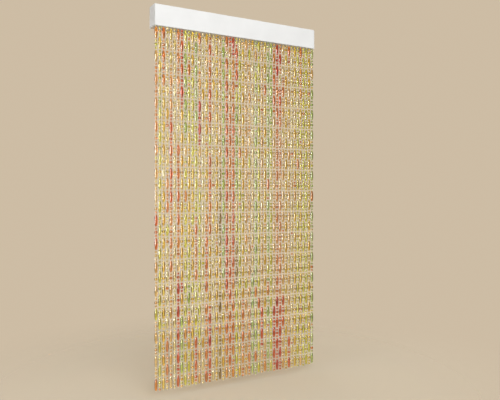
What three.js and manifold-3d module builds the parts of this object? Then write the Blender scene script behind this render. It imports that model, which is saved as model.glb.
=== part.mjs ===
// A bead door curtain under its white head rail.
// Millimetres, +Z up. The origin is the centre of the rail's back face, and the front faces -Y.
import * as THREE from "three";
import { mergeVertices } from "three/addons/utils/BufferGeometryUtils.js";
import Module from "manifold-3d";

// Head rail: a hollow box profile with a slot in its floor for the strands
const RAIL_WIDTH = 1000;
const RAIL_HEIGHT = 112;
const RAIL_DEPTH = 80;
const RAIL_WALL = 2;
const RAIL_CORNER_RADIUS = 3;
const CORNER_STEPS = 3;
const SLOT_WIDTH = 8;
const GUIDE_RIB_THICKNESS = 1.5;
const GUIDE_RIB_HEIGHT = 5;

// End caps: a plate over the profile's end and a hollow plug inside it
const CAP_THICKNESS = 2;
const PLUG_LENGTH = 12;
const PLUG_WALL = 2;
const PLUG_RISE = 6;

// Carrier strips: lie on the rail's floor, and the strands hang from them through the slot
const STRIP_WIDTH = 16.8;
const STRIP_THICKNESS = 3;
const STRIP_END_MARGIN = 4;

// Every loose piece keeps this gap to its neighbour
const FIT_GAP = 0.3;

// Strands
const STRAND_COUNT = 49;
const STRAND_PITCH = 20.4;
const STRAND_SETBACK = 11;
const STRAND_SIDES = 3;
const ROOT_RADIUS = 2.2;
const NECK_RADIUS = 3.2;
const TOP_GAP = 2.6;
const PLAIN_GROUP_EVERY = 7;
const PLAIN_GROUP_SHIFT = 4;

// Beads: a long one, then a group of a small, a large and a small round one
const LONG_BEAD_LENGTH = 63.1;
const LONG_BEAD_DIAMETER = 15.7;
const LARGE_ROUND_DIAMETER = 16.85;
const SMALL_ROUND_DIAMETER = 12.3;
const BEAD_GAP = 4.2;
const BEADS_PER_STRAND = 31;
const END_KNOT_LENGTH = 3;

// Worked out from the sizes above
const RAIL_LENGTH = RAIL_WIDTH - 2 * (CAP_THICKNESS + FIT_GAP);
const RAIL_TOP = RAIL_HEIGHT / 2;
const RAIL_BOTTOM = -RAIL_HEIGHT / 2;
const RAIL_FLOOR = RAIL_BOTTOM + RAIL_WALL;
const STRAND_Y = -RAIL_DEPTH + STRAND_SETBACK;
const STRIP_BOTTOM = RAIL_FLOOR + FIT_GAP;
const ROUND_GROUP_LENGTH = LARGE_ROUND_DIAMETER + 2 * (SMALL_ROUND_DIAMETER + BEAD_GAP);

// A three-sided section this wide has its corners this far from its middle; one corner points forward.
const cornerRadius = (width) => width / (2 * Math.sin(Math.PI / STRAND_SIDES));

// What a strand carries, in turn: the length of each bead or group, and its corner radius
const BEAD_FORMS = {
  long: { length: LONG_BEAD_LENGTH, radius: cornerRadius(LONG_BEAD_DIAMETER) },
  rounds: { length: ROUND_GROUP_LENGTH, radius: cornerRadius(LARGE_ROUND_DIAMETER) },
  small: { length: SMALL_ROUND_DIAMETER, radius: cornerRadius(SMALL_ROUND_DIAMETER) },
};

const MATERIALS = {
  rail: new THREE.MeshStandardMaterial({ color: 0xf3f3f1, roughness: 0.45, metalness: 0 }),
  cap: new THREE.MeshStandardMaterial({ color: 0xe9e9e7, roughness: 0.55, metalness: 0 }),
  strands: new THREE.MeshStandardMaterial({ color: 0xc8ae7c, roughness: 0.12, metalness: 0 }),
};

const wasm = await Module();
wasm.setup();

// Joining: a closed geometry becomes a solid, and a solid becomes a geometry again.
function toSolid(geometry) {
  const bare = geometry.clone();
  bare.deleteAttribute("normal");
  bare.deleteAttribute("uv");
  const merged = mergeVertices(bare, 1e-4);
  const corners = merged.index.array;
  const triVerts = [];
  for (let i = 0; i < corners.length; i += 3) {
    const [a, b, c] = corners.slice(i, i + 3);
    if (a !== b && b !== c && c !== a) triVerts.push(a, b, c);
  }
  const vertProperties = new Float32Array(merged.attributes.position.array);
  const mesh = new wasm.Mesh({ numProp: 3, vertProperties, triVerts: new Uint32Array(triVerts) });
  return new wasm.Manifold(mesh);
}

function toGeometry(solid) {
  const mesh = solid.getMesh();
  const geometry = new THREE.BufferGeometry();
  geometry.setAttribute("position", new THREE.BufferAttribute(mesh.vertProperties, 3));
  geometry.setIndex(new THREE.BufferAttribute(mesh.triVerts, 1));
  geometry.computeVertexNormals();
  return geometry;
}

function join(geometries) {
  return toGeometry(wasm.Manifold.union(geometries.map(toSolid)));
}

// Profiles are drawn with depth (Y) across and height (Z) up, then extruded along X.
function extrudeAlongX(shape, length, startX) {
  const geometry = new THREE.ExtrudeGeometry(shape, { depth: length, steps: 1, bevelEnabled: false });
  const toX = new THREE.Matrix4().makeBasis(
    new THREE.Vector3(0, 1, 0),
    new THREE.Vector3(0, 0, 1),
    new THREE.Vector3(1, 0, 0),
  );
  return geometry.applyMatrix4(toX).translate(startX, 0, 0);
}

// The four rounded outer corners of the rail's section, anticlockwise from the front bottom.
function outerCorners() {
  const near = -RAIL_DEPTH + RAIL_CORNER_RADIUS;
  const far = -RAIL_CORNER_RADIUS;
  const low = RAIL_BOTTOM + RAIL_CORNER_RADIUS;
  const high = RAIL_TOP - RAIL_CORNER_RADIUS;
  const centres = [
    { y: near, z: low, start: Math.PI },
    { y: far, z: low, start: 1.5 * Math.PI },
    { y: far, z: high, start: 0 },
    { y: near, z: high, start: 0.5 * Math.PI },
  ];
  return centres.map(({ y, z, start }) => {
    const points = [];
    for (let step = 0; step <= CORNER_STEPS; step++) {
      const angle = start + (step / CORNER_STEPS) * (Math.PI / 2);
      points.push([y + RAIL_CORNER_RADIUS * Math.cos(angle), z + RAIL_CORNER_RADIUS * Math.sin(angle)]);
    }
    return points;
  });
}

function shapeOf(points) {
  return new THREE.Shape(points.map(([y, z]) => new THREE.Vector2(y, z)));
}

// One outline runs round the outside, in through the slot and round the inside.
function headRail() {
  const [frontLow, backLow, backHigh, frontHigh] = outerCorners();
  const innerFront = -RAIL_DEPTH + RAIL_WALL;
  const innerTop = RAIL_TOP - RAIL_WALL;
  const slotFront = STRAND_Y - SLOT_WIDTH / 2;
  const slotBack = STRAND_Y + SLOT_WIDTH / 2;
  const ribFront = STRAND_Y + STRIP_WIDTH / 2 + FIT_GAP;
  const ribBack = ribFront + GUIDE_RIB_THICKNESS;
  const ribTop = RAIL_FLOOR + GUIDE_RIB_HEIGHT;
  const section = shapeOf([
    [slotBack, RAIL_BOTTOM],
    ...backLow,
    ...backHigh,
    ...frontHigh,
    ...frontLow,
    [slotFront, RAIL_BOTTOM],
    [slotFront, RAIL_FLOOR],
    [innerFront, RAIL_FLOOR],
    [innerFront, innerTop],
    [-RAIL_WALL, innerTop],
    [-RAIL_WALL, RAIL_FLOOR],
    [ribBack, RAIL_FLOOR],
    [ribBack, ribTop],
    [ribFront, ribTop],
    [ribFront, RAIL_FLOOR],
    [slotBack, RAIL_FLOOR],
  ]);
  return extrudeAlongX(section, RAIL_LENGTH, -RAIL_LENGTH / 2);
}

function rectangle(front, back, low, high) {
  return [[front, low], [back, low], [back, high], [front, high]];
}

// One cap: side is -1 for the left end and 1 for the right, where it is the left one mirrored.
function endCap(side) {
  const plate = shapeOf(outerCorners().flat());
  const front = -RAIL_DEPTH + RAIL_WALL + FIT_GAP;
  const back = -RAIL_WALL - FIT_GAP;
  const low = RAIL_FLOOR + PLUG_RISE;
  const high = RAIL_TOP - RAIL_WALL - FIT_GAP;
  const plug = shapeOf(rectangle(front, back, low, high));
  const hollow = rectangle(front + PLUG_WALL, back - PLUG_WALL, low + PLUG_WALL, high - PLUG_WALL);
  plug.holes.push(shapeOf(hollow));
  const plateX = side < 0 ? -RAIL_WIDTH / 2 : RAIL_WIDTH / 2 - CAP_THICKNESS;
  const plugReach = PLUG_LENGTH + CAP_THICKNESS / 2;
  const plugX = side < 0 ? plateX + CAP_THICKNESS / 2 : plateX + CAP_THICKNESS / 2 - plugReach;
  return join([
    extrudeAlongX(plate, CAP_THICKNESS, plateX),
    extrudeAlongX(plug, plugReach, plugX),
  ]);
}

const strandX = (index) => (index - (STRAND_COUNT - 1) / 2) * STRAND_PITCH;

// A strand's outline as radius and height. All begin at the same height: even strands begin and end
// with a long bead, and odd ones begin with a round group and end with one more small bead.
// A few groups are left as a plain neck.
function strandProfile(index) {
  const odd = index % 2 === 1;
  const order = odd ? ["rounds", "long"] : ["long", "rounds"];
  const beads = Array.from({ length: BEADS_PER_STRAND }, (_, place) => order[place % 2]);
  if (odd) beads.push("small");
  const points = [
    [0, STRIP_BOTTOM + STRIP_THICKNESS / 2],
    [ROOT_RADIUS, STRIP_BOTTOM + STRIP_THICKNESS / 2],
  ];
  let z = RAIL_BOTTOM - TOP_GAP;
  for (const [place, kind] of beads.entries()) {
    const { length, radius } = BEAD_FORMS[kind];
    const last = place === beads.length - 1;
    const inner = place > 0 && !last;
    const group = Math.floor(place / 2) + PLAIN_GROUP_SHIFT * index;
    const plain = kind === "rounds" && inner && group % PLAIN_GROUP_EVERY === 0;
    if (plain) {
      points.pop();
      points.push([NECK_RADIUS, z - length / 2]);
    } else {
      points.push([radius, z - length / 2]);
      if (!last) points.push([NECK_RADIUS, z - length - BEAD_GAP / 2]);
    }
    z -= length + (last ? END_KNOT_LENGTH : BEAD_GAP);
  }
  points.push([0, z]);
  return points.reverse();
}

function strand(index) {
  const profile = strandProfile(index).map(([radius, z]) => new THREE.Vector2(radius, z));
  return new THREE.LatheGeometry(profile, STRAND_SIDES)
    .rotateX(Math.PI / 2)
    .translate(strandX(index), STRAND_Y, 0);
}

function strip(startX, endX) {
  const section = shapeOf(
    rectangle(
      STRAND_Y - STRIP_WIDTH / 2,
      STRAND_Y + STRIP_WIDTH / 2,
      STRIP_BOTTOM,
      STRIP_BOTTOM + STRIP_THICKNESS,
    ),
  );
  return extrudeAlongX(section, endX - startX, startX);
}

// One carrier: its strip and the strands whose roots are fused into it
function strandCarrier(first, last, startX, endX) {
  const pieces = [strip(startX, endX)];
  for (let index = first; index <= last; index++) pieces.push(strand(index));
  return join(pieces);
}

const curtain = new THREE.Group();

function addPiece(name, geometry, material) {
  const mesh = new THREE.Mesh(geometry, material);
  mesh.name = name;
  curtain.add(mesh);
}

addPiece("head_rail", headRail(), MATERIALS.rail);
addPiece("end_cap_left", endCap(-1), MATERIALS.cap);
addPiece("end_cap_right", endCap(1), MATERIALS.cap);

const lastLeft = (STRAND_COUNT - 1) / 2;
const stripEnd = strandX(STRAND_COUNT - 1) + STRIP_END_MARGIN;
const joint = strandX(lastLeft) + STRAND_PITCH / 2;
const leftCarrier = strandCarrier(0, lastLeft, -stripEnd, joint - FIT_GAP / 2);
const rightCarrier = strandCarrier(lastLeft + 1, STRAND_COUNT - 1, joint + FIT_GAP / 2, stripEnd);
addPiece("strand_carrier_left", leftCarrier, MATERIALS.strands);
addPiece("strand_carrier_right", rightCarrier, MATERIALS.strands);

export default curtain;
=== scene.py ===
"""A bead door curtain: strands of clear tinted beads on white thread, hanging from a white head rail."""

import math
import random

import bpy
import numpy as np
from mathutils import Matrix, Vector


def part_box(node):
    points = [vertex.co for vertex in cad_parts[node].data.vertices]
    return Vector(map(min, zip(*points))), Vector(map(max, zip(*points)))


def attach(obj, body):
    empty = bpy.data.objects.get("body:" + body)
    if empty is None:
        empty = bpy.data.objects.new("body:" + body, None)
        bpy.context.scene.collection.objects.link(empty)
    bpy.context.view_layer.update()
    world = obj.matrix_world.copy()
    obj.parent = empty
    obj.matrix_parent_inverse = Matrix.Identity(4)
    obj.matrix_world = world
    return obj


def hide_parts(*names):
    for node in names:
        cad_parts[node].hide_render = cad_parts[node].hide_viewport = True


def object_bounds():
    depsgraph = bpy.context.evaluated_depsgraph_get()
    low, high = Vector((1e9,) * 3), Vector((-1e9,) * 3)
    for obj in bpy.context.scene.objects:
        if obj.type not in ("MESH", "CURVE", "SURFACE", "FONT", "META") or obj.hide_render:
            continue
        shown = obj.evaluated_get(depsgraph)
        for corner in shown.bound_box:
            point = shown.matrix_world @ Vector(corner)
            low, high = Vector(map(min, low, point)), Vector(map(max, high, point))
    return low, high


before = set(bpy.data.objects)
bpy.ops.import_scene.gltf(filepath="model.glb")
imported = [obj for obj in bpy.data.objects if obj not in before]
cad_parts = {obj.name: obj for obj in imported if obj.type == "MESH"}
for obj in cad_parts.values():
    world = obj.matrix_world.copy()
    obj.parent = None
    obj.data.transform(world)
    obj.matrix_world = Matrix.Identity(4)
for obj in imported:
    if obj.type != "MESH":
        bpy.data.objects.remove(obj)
cad_low, cad_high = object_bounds()

MM = 0.001

# Strands, as they hang from the rail. A place on a strand holds a long bead or a group of three round ones.
STRAND_COUNT = 49
PLACES = 31
BEADS_PER_REPEAT = 4
STRAND_PITCH = 20.4 * MM
STRAND_SETBACK = 11 * MM
TOP_GAP = 2.6 * MM
BEAD_GAP = 4.2 * MM
HANG_JITTER = 2.2 * MM
SEED = 7

# Beads
LONG_LENGTH = 63.1 * MM
LONG_DIAMETER = 15.7 * MM
LARGE_DIAMETER = 16.85 * MM
SMALL_DIAMETER = 12.3 * MM
HOLE_DIAMETER = 3.7 * MM
LONG_FULLNESS = 2.2
LONG_BLUNTNESS = 0.38
ROUND_FULLNESS = 2.0
ROUND_BLUNTNESS = 0.5
SMOOTH_ANGLE = math.radians(50)

# Thread and its knots
THREAD_DIAMETER = 1.7 * MM
KNOT_DIAMETER = 2.9 * MM
THREAD_SIDES = 6
THREAD_RISE = 4 * MM
END_KNOT_DIAMETER = 4.2 * MM
END_KNOT_LENGTH = 2.8 * MM

REPEAT = LONG_LENGTH + 2 * SMALL_DIAMETER + LARGE_DIAMETER + 4 * BEAD_GAP
GROUP_LENGTH = REPEAT - LONG_LENGTH - 2 * BEAD_GAP

rail_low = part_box("head_rail")[0]
STRAND_Y = rail_low.y + STRAND_SETBACK
RAIL_BOTTOM = rail_low.z


# Small helpers


def strand_x(place):
    """Where a strand hangs along the rail, counted from 0 at the left."""
    return (place - (STRAND_COUNT - 1) / 2) * STRAND_PITCH


def deselect_all():
    bpy.ops.object.select_all(action="DESELECT")


def pick(*objects):
    deselect_all()
    for item in objects:
        item.select_set(True)
    bpy.context.view_layer.objects.active = objects[0]


def named(name):
    made = bpy.context.object
    made.name = name
    made.data.name = name
    return made


def apply_all(item):
    pick(item)
    for modifier in list(item.modifiers):
        bpy.ops.object.modifier_apply(modifier=modifier.name)


def settle(item):
    pick(item)
    bpy.ops.object.transform_apply(location=True, rotation=True, scale=True)


# Beads


def turn(name, rings, sides):
    """A round form drawn from the top down: each ring, a (radius, height) pair, is extruded and resized."""
    radius, height = rings[0]
    bpy.ops.mesh.primitive_circle_add(vertices=sides, radius=radius, location=(0, 0, 0))
    item = named(name)
    bpy.ops.object.mode_set(mode="EDIT")
    bpy.ops.mesh.select_all(action="SELECT")
    bpy.ops.transform.translate(value=(0, 0, height))
    for next_radius, next_height in rings[1:]:
        bpy.ops.mesh.extrude_edges_move(
            TRANSFORM_OT_translate={"value": (0, 0, next_height - height)},
        )
        grow = next_radius / radius
        bpy.ops.transform.resize(value=(grow, grow, 1))
        radius, height = next_radius, next_height
    bpy.ops.object.mode_set(mode="OBJECT")
    return item


def bead(name, length, diameter, sides, steps, fullness, bluntness):
    """A bead with a threading hole, centred at the origin. Slot 0 is its outside, slot 1 the hole's wall.

    Its few sides stand a little wide, so that it fills as much space as the round bead.
    """
    half = length / 2
    hole = HOLE_DIAMETER / 2
    slice_angle = 2 * math.pi / sides
    full = diameter / 2 * math.sqrt(slice_angle / math.sin(slice_angle))
    rings = []
    for step in range(steps + 1):
        t = -math.cos(math.pi * step / steps)
        radius = full * (1 - abs(t) ** fullness) ** bluntness
        rings.append((max(radius, hole), -half * t))
    item = turn(name, rings, sides)
    bpy.ops.object.mode_set(mode="EDIT")
    bpy.ops.mesh.select_all(action="DESELECT")
    bpy.ops.mesh.select_mode(type="EDGE")
    bpy.ops.mesh.select_non_manifold(extend=False)
    bpy.ops.mesh.bridge_edge_loops()
    bpy.ops.mesh.select_all(action="SELECT")
    bpy.ops.mesh.normals_make_consistent(inside=False)
    bpy.ops.object.mode_set(mode="OBJECT")
    pick(item)
    bpy.ops.object.shade_smooth_by_angle(angle=SMOOTH_ANGLE)
    item.data.materials.append(acrylic)
    item.data.materials.append(lining)
    for face in item.data.polygons:
        reach = max(math.hypot(*item.data.vertices[v].co.xy) for v in face.vertices)
        face.material_index = 1 if reach < hole * 1.01 else 0
    return item


def number_beads(item, count, first):
    """Marks every vertex with its bead's number on the strand, counted from the top."""
    each = len(item.data.vertices) // count
    order = first + BEADS_PER_REPEAT * (np.arange(len(item.data.vertices)) // each)
    mark = item.data.attributes.new("bead", "INT", "POINT")
    mark.data.foreach_set("value", order.astype(np.int32))


def row_of(original, name, top, count, first):
    """Beads of one kind down a strand, one in each repeat, the first with its middle at height top."""
    pick(original)
    bpy.ops.object.duplicate(linked=False)
    item = named(name)
    item.location = (0, 0, top)
    settle(item)
    array = item.modifiers.new("repeat", "ARRAY")
    array.count = count
    array.use_relative_offset = False
    array.use_constant_offset = True
    array.constant_offset_displace = (0, 0, -REPEAT)
    apply_all(item)
    number_beads(item, count, first)
    return item


def strand_of_beads(name, forms, longs_first, top):
    """One strand. Long beads and round groups take turns, and whichever comes first ends the strand.

    A strand that ends in a round group has one more small bead under it, so that all reach equally low.
    """
    long_bead, large_bead, small_bead = forms
    longs = PLACES // 2 + (1 if longs_first else 0)
    groups = PLACES - longs
    long_top = top if longs_first else top - GROUP_LENGTH - BEAD_GAP
    group_top = top - LONG_LENGTH - BEAD_GAP if longs_first else top
    first_long = 0 if longs_first else BEADS_PER_REPEAT - 1
    first_group = 1 if longs_first else 0
    small_drop = SMALL_DIAMETER / 2
    large_drop = SMALL_DIAMETER + BEAD_GAP + LARGE_DIAMETER / 2
    rows = [
        row_of(long_bead, name, long_top - LONG_LENGTH / 2, longs, first_long),
        row_of(small_bead, name + "_a", group_top - small_drop, groups, first_group),
        row_of(large_bead, name + "_b", group_top - large_drop, groups, first_group + 1),
        row_of(small_bead, name + "_c", group_top - GROUP_LENGTH + small_drop, groups, first_group + 2),
    ]
    if not longs_first:
        end_top = top - longs * REPEAT - GROUP_LENGTH - BEAD_GAP
        last = BEADS_PER_REPEAT * groups - 1
        rows.append(row_of(small_bead, name + "_d", end_top - small_drop, 1, last))
    pick(*rows)
    bpy.ops.object.join()
    return named(name)


def thread_rings(longs_first, top, low):
    """The thread from inside the rail to its end knot: slim in the beads, knotted in each gap."""
    lengths = {"long": [LONG_LENGTH], "group": [SMALL_DIAMETER, LARGE_DIAMETER, SMALL_DIAMETER]}
    order = ["long", "group"] if longs_first else ["group", "long"]
    beads = [length for place in range(PLACES) for length in lengths[order[place % 2]]]
    if not longs_first:
        beads.append(SMALL_DIAMETER)
    thin = THREAD_DIAMETER / 2
    knot = KNOT_DIAMETER / 2
    rings = [(thin, top)]
    height = low
    for length in beads[:-1]:
        height -= length
        rings.append((thin, height + 0.1 * BEAD_GAP))
        rings.append((knot, height - 0.25 * BEAD_GAP))
        rings.append((thin * 1.15, height - 0.5 * BEAD_GAP))
        rings.append((knot, height - 0.75 * BEAD_GAP))
        height -= BEAD_GAP
        rings.append((thin, height - 0.1 * BEAD_GAP))
    height -= beads[-1]
    end = END_KNOT_DIAMETER / 2
    rings.append((thin, height + 0.1 * BEAD_GAP))
    rings.append((end, height - 0.3 * END_KNOT_LENGTH))
    rings.append((end, height - 0.7 * END_KNOT_LENGTH))
    rings.append((thin * 0.6, height - END_KNOT_LENGTH))
    return rings


def thread(name, longs_first, top, low):
    item = turn(name, thread_rings(longs_first, top, low), THREAD_SIDES)
    bpy.ops.object.mode_set(mode="EDIT")
    bpy.ops.mesh.select_all(action="DESELECT")
    bpy.ops.mesh.select_mode(type="EDGE")
    bpy.ops.mesh.select_non_manifold(extend=False)
    bpy.ops.mesh.edge_face_add()
    bpy.ops.mesh.select_all(action="SELECT")
    bpy.ops.mesh.normals_make_consistent(inside=False)
    bpy.ops.object.mode_set(mode="OBJECT")
    pick(item)
    bpy.ops.object.shade_smooth()
    return item


# Tints: the name, then the bead's colour and the blush that swirls through it, as seen by eye (0 to 255)
TINTS = {
    "clear": ((242, 228, 168), (242, 218, 150)),
    "champagne": ((236, 204, 124), (240, 186, 116)),
    "honey": ((236, 208, 74), (238, 190, 56)),
    "lime": ((216, 220, 80), (238, 218, 74)),
    "green": ((162, 198, 90), (212, 214, 84)),
    "sea": ((176, 206, 134), (214, 220, 130)),
    "amber": ((226, 148, 36), (232, 124, 30)),
    "orange": ((226, 98, 22), (234, 146, 42)),
    "salmon": ((234, 138, 70), (238, 180, 94)),
    "coral": ((222, 88, 26), (236, 136, 50)),
    "red": ((208, 54, 4), (226, 92, 16)),
    "olive": ((148, 118, 40), (184, 148, 56)),
}

# What most of each strand's beads are, from the left
HOMES = """
    champagne lime honey clear champagne clear champagne honey lime lime
    honey lime champagne clear honey amber clear honey olive sea
    amber champagne amber lime lime honey champagne champagne clear sea
    lime champagne honey sea lime champagne salmon salmon champagne honey
    champagne clear honey lime honey lime lime honey sea
""".split()

# Runs that stand out: strand, where the run begins and ends as a share of the drop, and its tint
RUNS = [
    (0, 0.09, 0.34, "salmon"), (0, 0.51, 0.61, "coral"), (1, 0.19, 0.24, "green"),
    (2, 0.00, 0.14, "amber"), (3, 0.25, 0.28, "salmon"), (3, 0.40, 0.50, "salmon"),
    (3, 0.84, 0.97, "salmon"), (4, 0.12, 0.22, "salmon"), (4, 0.22, 0.50, "coral"),
    (4, 0.50, 0.68, "salmon"), (6, 0.00, 0.20, "salmon"), (6, 0.33, 0.50, "orange"),
    (6, 0.50, 0.66, "amber"), (6, 0.67, 1.00, "red"), (7, 0.00, 0.20, "red"),
    (7, 0.20, 0.24, "coral"), (7, 0.68, 0.73, "red"), (7, 0.79, 0.94, "green"),
    (8, 0.05, 0.30, "green"), (9, 0.30, 0.60, "honey"), (9, 0.70, 0.76, "green"),
    (9, 0.78, 0.84, "amber"), (10, 0.10, 0.38, "lime"), (11, 0.05, 0.25, "sea"),
    (11, 0.52, 0.68, "salmon"), (11, 0.86, 0.98, "coral"), (12, 0.19, 0.32, "red"),
    (12, 0.45, 0.90, "lime"), (14, 0.52, 0.58, "amber"), (14, 0.58, 0.74, "orange"),
    (14, 0.78, 1.00, "amber"), (15, 0.03, 0.25, "orange"), (15, 0.37, 0.48, "orange"),
    (15, 0.56, 0.76, "honey"), (15, 0.79, 0.98, "red"), (16, 0.42, 0.45, "coral"),
    (18, 0.00, 0.40, "champagne"), (19, 0.03, 0.30, "green"), (19, 0.36, 0.52, "green"),
    (19, 0.68, 1.00, "honey"), (20, 0.09, 0.48, "orange"), (20, 0.56, 0.76, "red"),
    (21, 0.00, 0.05, "red"), (21, 0.22, 0.48, "amber"), (21, 0.60, 0.76, "orange"),
    (21, 0.80, 0.95, "amber"), (22, 0.00, 0.05, "red"), (22, 0.24, 0.50, "orange"),
    (22, 0.50, 0.72, "coral"), (23, 0.03, 0.12, "red"), (23, 0.20, 0.45, "green"),
    (23, 0.60, 0.72, "olive"), (24, 0.76, 1.00, "honey"), (25, 0.75, 1.00, "amber"),
    (27, 0.78, 1.00, "salmon"), (28, 0.70, 1.00, "sea"), (31, 0.79, 0.91, "red"),
    (32, 0.93, 1.00, "amber"), (34, 0.00, 0.24, "green"), (35, 0.03, 0.22, "orange"),
    (35, 0.79, 0.97, "red"), (36, 0.00, 0.09, "red"), (36, 0.09, 0.24, "orange"),
    (36, 0.78, 1.00, "red"), (37, 0.03, 0.07, "red"), (37, 0.12, 0.24, "coral"),
    (37, 0.78, 1.00, "red"), (38, 0.09, 0.14, "orange"), (38, 0.78, 0.88, "coral"),
    (40, 0.00, 0.05, "coral"), (40, 0.92, 1.00, "coral"), (44, 0.00, 0.14, "amber"),
]

# Now and then a bead is another tint than its strand's
STRAYS = ["clear", "champagne", "honey", "honey", "lime", "amber"]
STRAY_CHANCE = 0.16
TINT_WANDER = 0.34


def linear(value):
    value /= 255
    return value / 12.92 if value <= 0.04045 else ((value + 0.055) / 1.055) ** 2.4


def strand_tints(index, beads, dice):
    """The colour and the blush of each bead of a strand, from the top."""
    order = [HOMES[index]] * beads
    for place in range(beads):
        if dice.random() < STRAY_CHANCE:
            order[place] = dice.choice(STRAYS)
    for strand, begin, end, tint in RUNS:
        if strand == index:
            for place in range(round(begin * beads), round(end * beads)):
                order[place] = tint
    colours = []
    blushes = []
    for tint in order:
        depth = 1 + dice.uniform(-TINT_WANDER, TINT_WANDER)
        colour, blush = TINTS[tint]
        colours.append([linear(c) ** depth for c in colour] + [1.0])
        blushes.append([linear(c) ** depth for c in blush] + [1.0])
    return np.array(colours, np.float32), np.array(blushes, np.float32)


# Materials


def new_material(name):
    material = bpy.data.materials.new(name)
    material.use_nodes = True
    tree = material.node_tree
    return material, tree, tree.nodes["Principled BSDF"]


def link(tree, start, end):
    tree.links.new(start, end)


def noise(tree, scale, detail=2.0, roughness=0.5):
    """Noise through the piece itself, with about scale swirls a metre."""
    place = tree.nodes.new("ShaderNodeTexCoord")
    node = tree.nodes.new("ShaderNodeTexNoise")
    node.inputs["Scale"].default_value = scale
    node.inputs["Detail"].default_value = detail
    node.inputs["Roughness"].default_value = roughness
    link(tree, place.outputs["Object"], node.inputs["Vector"])
    return node


def ramp(tree, source, stops):
    """Colours by value: each stop is a place from 0 to 1 and its colour."""
    node = tree.nodes.new("ShaderNodeValToRGB")
    points = node.color_ramp.elements
    while len(points) < len(stops):
        points.new(0.5)
    for point, (place, colour) in zip(points, stops):
        point.position = place
        point.color = colour
    link(tree, source, node.inputs["Fac"])
    return node


def bump(tree, shader, source, strength, distance):
    node = tree.nodes.new("ShaderNodeBump")
    node.inputs["Strength"].default_value = strength
    node.inputs["Distance"].default_value = distance
    link(tree, source, node.inputs["Height"])
    link(tree, node.outputs["Normal"], shader.inputs["Normal"])


def attribute(tree, name):
    node = tree.nodes.new("ShaderNodeAttribute")
    node.attribute_type = "GEOMETRY"
    node.attribute_name = name
    return node.outputs["Color"]


def mixed(tree, first, second, factor, blend="MIX"):
    node = tree.nodes.new("ShaderNodeMix")
    node.data_type = "RGBA"
    node.blend_type = blend
    for value, socket in ((first, "A"), (second, "B"), (factor, "Factor")):
        if isinstance(value, (int, float, tuple)):
            node.inputs[socket].default_value = value
        else:
            link(tree, value, node.inputs[socket])
    return node.outputs["Result"]


def swirled_tint(tree):
    """A bead's own colour, with its blush swirling through it."""
    swirl = noise(tree, scale=95, detail=3.0)
    share = ramp(tree, swirl.outputs["Fac"], [(0.40, (0, 0, 0, 1)), (0.62, (1, 1, 1, 1))])
    return mixed(tree, attribute(tree, "tint"), attribute(tree, "blush"), share.outputs["Color"])


def clear_acrylic():
    """Polished tinted acrylic, crazed inside with fine crackle."""
    material, tree, shader = new_material("clear_acrylic")
    crackle = noise(tree, scale=210, detail=4.0, roughness=0.65)
    depth = ramp(tree, crackle.outputs["Fac"], [(0.40, (0.66, 0.60, 0.48, 1)), (0.52, (1, 1, 1, 1))])
    crackled = mixed(tree, swirled_tint(tree), depth.outputs["Color"], 1.0, "MULTIPLY")
    link(tree, crackled, shader.inputs["Base Color"])
    shader.inputs["Transmission Weight"].default_value = 0.84
    shader.inputs["IOR"].default_value = 1.49
    shader.inputs["Roughness"].default_value = 0.04
    shader.inputs["Coat Weight"].default_value = 1.0
    shader.inputs["Coat IOR"].default_value = 1.7
    shader.inputs["Coat Roughness"].default_value = 0.03
    ripple = noise(tree, scale=380)
    bump(tree, shader, ripple.outputs["Fac"], strength=0.35, distance=0.4 * MM)
    return material


def foil_lining_painted_glow():
    """The crackled lining of the threading hole, in a paler shade of the bead's tint, with a painted glow."""
    material, tree, shader = new_material("foil_lining_painted_glow")
    flakes = noise(tree, scale=1900, detail=3.0, roughness=0.7)
    shine = ramp(tree, flakes.outputs["Fac"], [(0.40, (0.20, 0.16, 0.10, 1)), (0.54, (1, 1, 1, 1))])
    pale = mixed(tree, swirled_tint(tree), (1.0, 0.99, 0.88, 1.0), 0.7)
    flaked = mixed(tree, pale, shine.outputs["Color"], 1.0, "MULTIPLY")
    link(tree, flaked, shader.inputs["Base Color"])
    # Painted glow: the lining gives off a cream light of its own, standing in for light gathered through the
    # bead.
    shader.inputs["Emission Color"].default_value = (1.0, 0.88, 0.48, 1)
    shader.inputs["Emission Strength"].default_value = 0.40
    shader.inputs["Metallic"].default_value = 0.0
    shader.inputs["Roughness"].default_value = 0.25
    bump(tree, shader, flakes.outputs["Fac"], strength=1.0, distance=0.8 * MM)
    return material


def white_thread():
    material, tree, shader = new_material("white_thread")
    fibres = noise(tree, scale=1500, detail=3.0)
    shade = ramp(tree, fibres.outputs["Fac"], [(0.3, (0.72, 0.69, 0.63, 1)), (0.7, (0.92, 0.91, 0.88, 1))])
    link(tree, shade.outputs["Color"], shader.inputs["Base Color"])
    shader.inputs["Roughness"].default_value = 0.7
    bump(tree, shader, fibres.outputs["Fac"], strength=0.6, distance=0.5 * MM)
    return material


def white_paint(name, low, high, roughness):
    """Satin white, with a faint mottle and a fine orange peel."""
    material, tree, shader = new_material(name)
    mottle = noise(tree, scale=9, detail=4.0)
    shade = ramp(tree, mottle.outputs["Fac"], [(0.35, (*low, 1)), (0.65, (*high, 1))])
    link(tree, shade.outputs["Color"], shader.inputs["Base Color"])
    shader.inputs["Roughness"].default_value = roughness
    peel = noise(tree, scale=700)
    bump(tree, shader, peel.outputs["Fac"], strength=0.12, distance=0.3 * MM)
    return material


# The camera, at the photograph's viewing angle
CAMERA_PLACE = (-1.495, -2.873, -0.920)
CAMERA_TURN = math.radians(-29.1)
CAMERA_LENS = 41.0
IMAGE_WIDTH = 500
HORIZON_ABOVE_MIDDLE = 7

bpy.ops.object.camera_add(location=CAMERA_PLACE, rotation=(math.pi / 2, 0, CAMERA_TURN))
camera = bpy.context.object
camera.name = "camera"
camera.data.lens = CAMERA_LENS
camera.data.sensor_width = 36
camera.data.shift_y = -HORIZON_ABOVE_MIDDLE / IMAGE_WIDTH
bpy.context.scene.camera = camera


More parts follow.
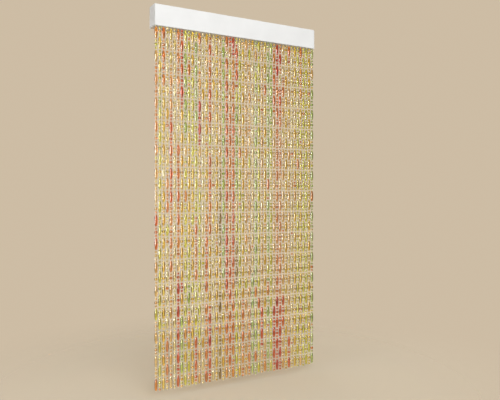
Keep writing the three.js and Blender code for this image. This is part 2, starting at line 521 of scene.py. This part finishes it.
# Build the strands
acrylic = clear_acrylic()
lining = foil_lining_painted_glow()
cotton = white_thread()

deselect_all()
long_form = bead("long_bead", LONG_LENGTH, LONG_DIAMETER, 9, 8, LONG_FULLNESS, LONG_BLUNTNESS)
large_form = bead("large_bead", LARGE_DIAMETER, LARGE_DIAMETER, 9, 6, ROUND_FULLNESS, ROUND_BLUNTNESS)
small_form = bead("small_bead", SMALL_DIAMETER, SMALL_DIAMETER, 8, 5, ROUND_FULLNESS, ROUND_BLUNTNESS)
forms = (long_form, large_form, small_form)

strand_top = RAIL_BOTTOM - TOP_GAP
thread_top = RAIL_BOTTOM + THREAD_RISE
even_beads = strand_of_beads("even_beads", forms, True, strand_top)
odd_beads = strand_of_beads("odd_beads", forms, False, strand_top)
even_thread = thread("even_thread", True, thread_top, strand_top)
odd_thread = thread("odd_thread", False, thread_top, strand_top)

dice = random.Random(SEED)
threads = []
for index in range(STRAND_COUNT):
    odd = index % 2 == 1
    x = strand_x(index)
    lift = dice.uniform(-HANG_JITTER, HANG_JITTER)
    pick(odd_beads if odd else even_beads)
    bpy.ops.object.duplicate(linked=False)
    strand = named(f"strand_{index + 1:02d}")
    strand.location = (x, STRAND_Y, lift)
    settle(strand)
    order = np.zeros(len(strand.data.vertices), np.int32)
    strand.data.attributes["bead"].data.foreach_get("value", order)
    for name, colours in zip(("tint", "blush"), strand_tints(index, int(order.max()) + 1, dice)):
        paint = strand.data.attributes.new(name, "FLOAT_COLOR", "POINT")
        paint.data.foreach_set("color", colours[order].ravel())
    strand.data.attributes.remove(strand.data.attributes["bead"])
    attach(strand, "root")
    pick(odd_thread if odd else even_thread)
    bpy.ops.object.duplicate(linked=False)
    cord = named(f"thread_{index + 1:02d}")
    cord.location = (x, STRAND_Y, lift)
    settle(cord)
    threads.append(cord)

pick(*threads)
bpy.ops.object.join()
all_threads = named("threads")
all_threads.data.materials.clear()
all_threads.data.materials.append(cotton)
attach(all_threads, "root")

for spare in (*forms, even_beads, odd_beads, even_thread, odd_thread):
    bpy.data.objects.remove(spare, do_unlink=True)

# The two carrier strips that the strands hang from, seen through the rail's slot
STRIP_WIDTH = 16.8 * MM
STRIP_THICKNESS = 3 * MM
STRIP_END_MARGIN = 4 * MM
STRIP_EDGE = 0.4 * MM
JOINT_STRAND = 24.5
JOINT_GAP = 0.3 * MM


def strip(name, begin, end):
    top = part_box(name)[1].z
    bpy.ops.mesh.primitive_cube_add(size=1, location=((begin + end) / 2, STRAND_Y, top - STRIP_THICKNESS / 2))
    item = named(name.replace("strand_carrier", "carrier_strip"))
    item.scale = (end - begin, STRIP_WIDTH, STRIP_THICKNESS)
    settle(item)
    edge = item.modifiers.new("edge", "BEVEL")
    edge.width = STRIP_EDGE
    edge.segments = 2
    apply_all(item)
    item.data.materials.append(strip_plastic)
    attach(item, "root")
    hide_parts(name)


strip_plastic = white_paint("strip_plastic", (0.74, 0.73, 0.70), (0.80, 0.79, 0.76), 0.5)
strip_reach = strand_x(STRAND_COUNT - 1) + STRIP_END_MARGIN
joint = strand_x(JOINT_STRAND)
strip("strand_carrier_left", -strip_reach, joint - JOINT_GAP / 2)
strip("strand_carrier_right", joint + JOINT_GAP / 2, strip_reach)

# Finish the rail and its caps
rail_paint = white_paint("rail_paint", (0.86, 0.86, 0.85), (0.90, 0.90, 0.89), 0.38)
cap_plastic = white_paint("cap_plastic", (0.72, 0.72, 0.71), (0.76, 0.76, 0.75), 0.5)
FINISHES = {"head_rail": rail_paint, "end_cap_left": cap_plastic, "end_cap_right": cap_plastic}
for node, material in FINISHES.items():
    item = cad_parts[node]
    item.data.materials.clear()
    item.data.materials.append(material)

# Floor, light and world: a pale warm studio, its floor fading into the backdrop
BACKDROP = (0.612, 0.506, 0.374)
FLOOR_DROP = 0.035
FLOOR_SIZE = 8
FADE_BEGIN = 0.3
FADE_END = 2.0

bpy.ops.mesh.primitive_grid_add(size=FLOOR_SIZE, x_subdivisions=8, y_subdivisions=8, location=(0, 0, 0))
floor = named("floor")
floor.location = (0, 0, cad_low.z - FLOOR_DROP)
settle(floor)
floor_material, tree, shader = new_material("pale_floor")
shader.inputs["Base Color"].default_value = (0.70, 0.615, 0.48, 1)
shader.inputs["Roughness"].default_value = 0.9
place = tree.nodes.new("ShaderNodeTexCoord")
flat = tree.nodes.new("ShaderNodeVectorMath")
flat.operation = "MULTIPLY"
flat.inputs[1].default_value = (1, 1, 0)
link(tree, place.outputs["Object"], flat.inputs[0])
away = tree.nodes.new("ShaderNodeVectorMath")
away.operation = "LENGTH"
link(tree, flat.outputs["Vector"], away.inputs[0])
fade = tree.nodes.new("ShaderNodeMapRange")
fade.interpolation_type = "SMOOTHSTEP"
fade.inputs["From Min"].default_value = FADE_BEGIN
fade.inputs["From Max"].default_value = FADE_END
fade.inputs["To Min"].default_value = 1.0
fade.inputs["To Max"].default_value = 0.0
link(tree, away.outputs["Value"], fade.inputs["Value"])
link(tree, fade.outputs["Result"], shader.inputs["Alpha"])
floor.data.materials.append(floor_material)


def softbox(name, place, target, size, power, diffuse=True, gloss=True, through=True):
    bpy.ops.object.light_add(type="AREA", location=place)
    lamp = bpy.context.object
    lamp.name = name
    lamp.data.shape = "RECTANGLE"
    lamp.data.size, lamp.data.size_y = size
    lamp.data.energy = power
    lamp.visible_camera = False
    lamp.visible_diffuse = diffuse
    lamp.visible_glossy = gloss
    lamp.visible_transmission = through
    aim = [b - a for a, b in zip(place, target)]
    turn_z = math.atan2(-aim[0], aim[1])
    tilt = math.atan2(math.hypot(aim[0], aim[1]), -aim[2])
    lamp.rotation_euler = (tilt, 0, turn_z)
    return lamp


MIDDLE = (0, 0, -0.9)
softbox("key", (-0.6, -3.6, 0.3), MIDDLE, (2.4, 2.4), 93, gloss=False)
softbox("top", (0, -0.4, 2.4), MIDDLE, (4, 4), 30, gloss=False, through=False)
softbox("left_fill", (-3.4, -0.4, -0.4), MIDDLE, (1.6, 2.0), 42, gloss=False, through=False)
softbox("right_fill", (3.4, -0.2, -0.4), MIDDLE, (1.6, 2.0), 42, gloss=False, through=False)
softbox("back_fill", (0.3, 3.6, 0.2), MIDDLE, (2.4, 2.4), 30, gloss=False, through=False)
softbox("left_strip", (-2.9, -1.15, -0.55), (0, 0, -0.55), (0.85, 2.7), 130, diffuse=False)
softbox("back_left", (-2.1, 2.6, -0.6), MIDDLE, (0.8, 2.4), 50, diffuse=False)

# The studio's walls: warm behind, white in front, dim at the sides, so that clear beads get dark edges
world = bpy.data.worlds.new("studio")
bpy.context.scene.world = world
world.use_nodes = True
tree = world.node_tree
sky = tree.nodes["Background"]
place = tree.nodes.new("ShaderNodeTexCoord")
parts = tree.nodes.new("ShaderNodeSeparateXYZ")
link(tree, place.outputs["Generated"], parts.inputs["Vector"])
side = tree.nodes.new("ShaderNodeMath")
side.operation = "ABSOLUTE"
link(tree, parts.outputs["X"], side.inputs[0])
depth = tree.nodes.new("ShaderNodeMapRange")
depth.inputs["From Min"].default_value = -1.0
link(tree, parts.outputs["Y"], depth.inputs["Value"])
walls = ramp(tree, depth.outputs["Result"], [
    (0.0, (0.40, 0.40, 0.39, 1)), (0.5, (0.15, 0.14, 0.12, 1)), (0.65, (0.34, 0.27, 0.18, 1)),
])
dim = ramp(tree, side.outputs["Value"], [(0.52, (1, 1, 1, 1)), (0.84, (0.08, 0.07, 0.05, 1))])
studio = mixed(tree, walls.outputs["Color"], dim.outputs["Color"], 1.0, "MULTIPLY")
ray = tree.nodes.new("ShaderNodeLightPath")
link(tree, mixed(tree, studio, (*BACKDROP, 1.0), ray.outputs["Is Camera Ray"]), sky.inputs["Color"])
sky.inputs["Strength"].default_value = 1.0
bpy.context.scene.view_settings.view_transform = "Standard"
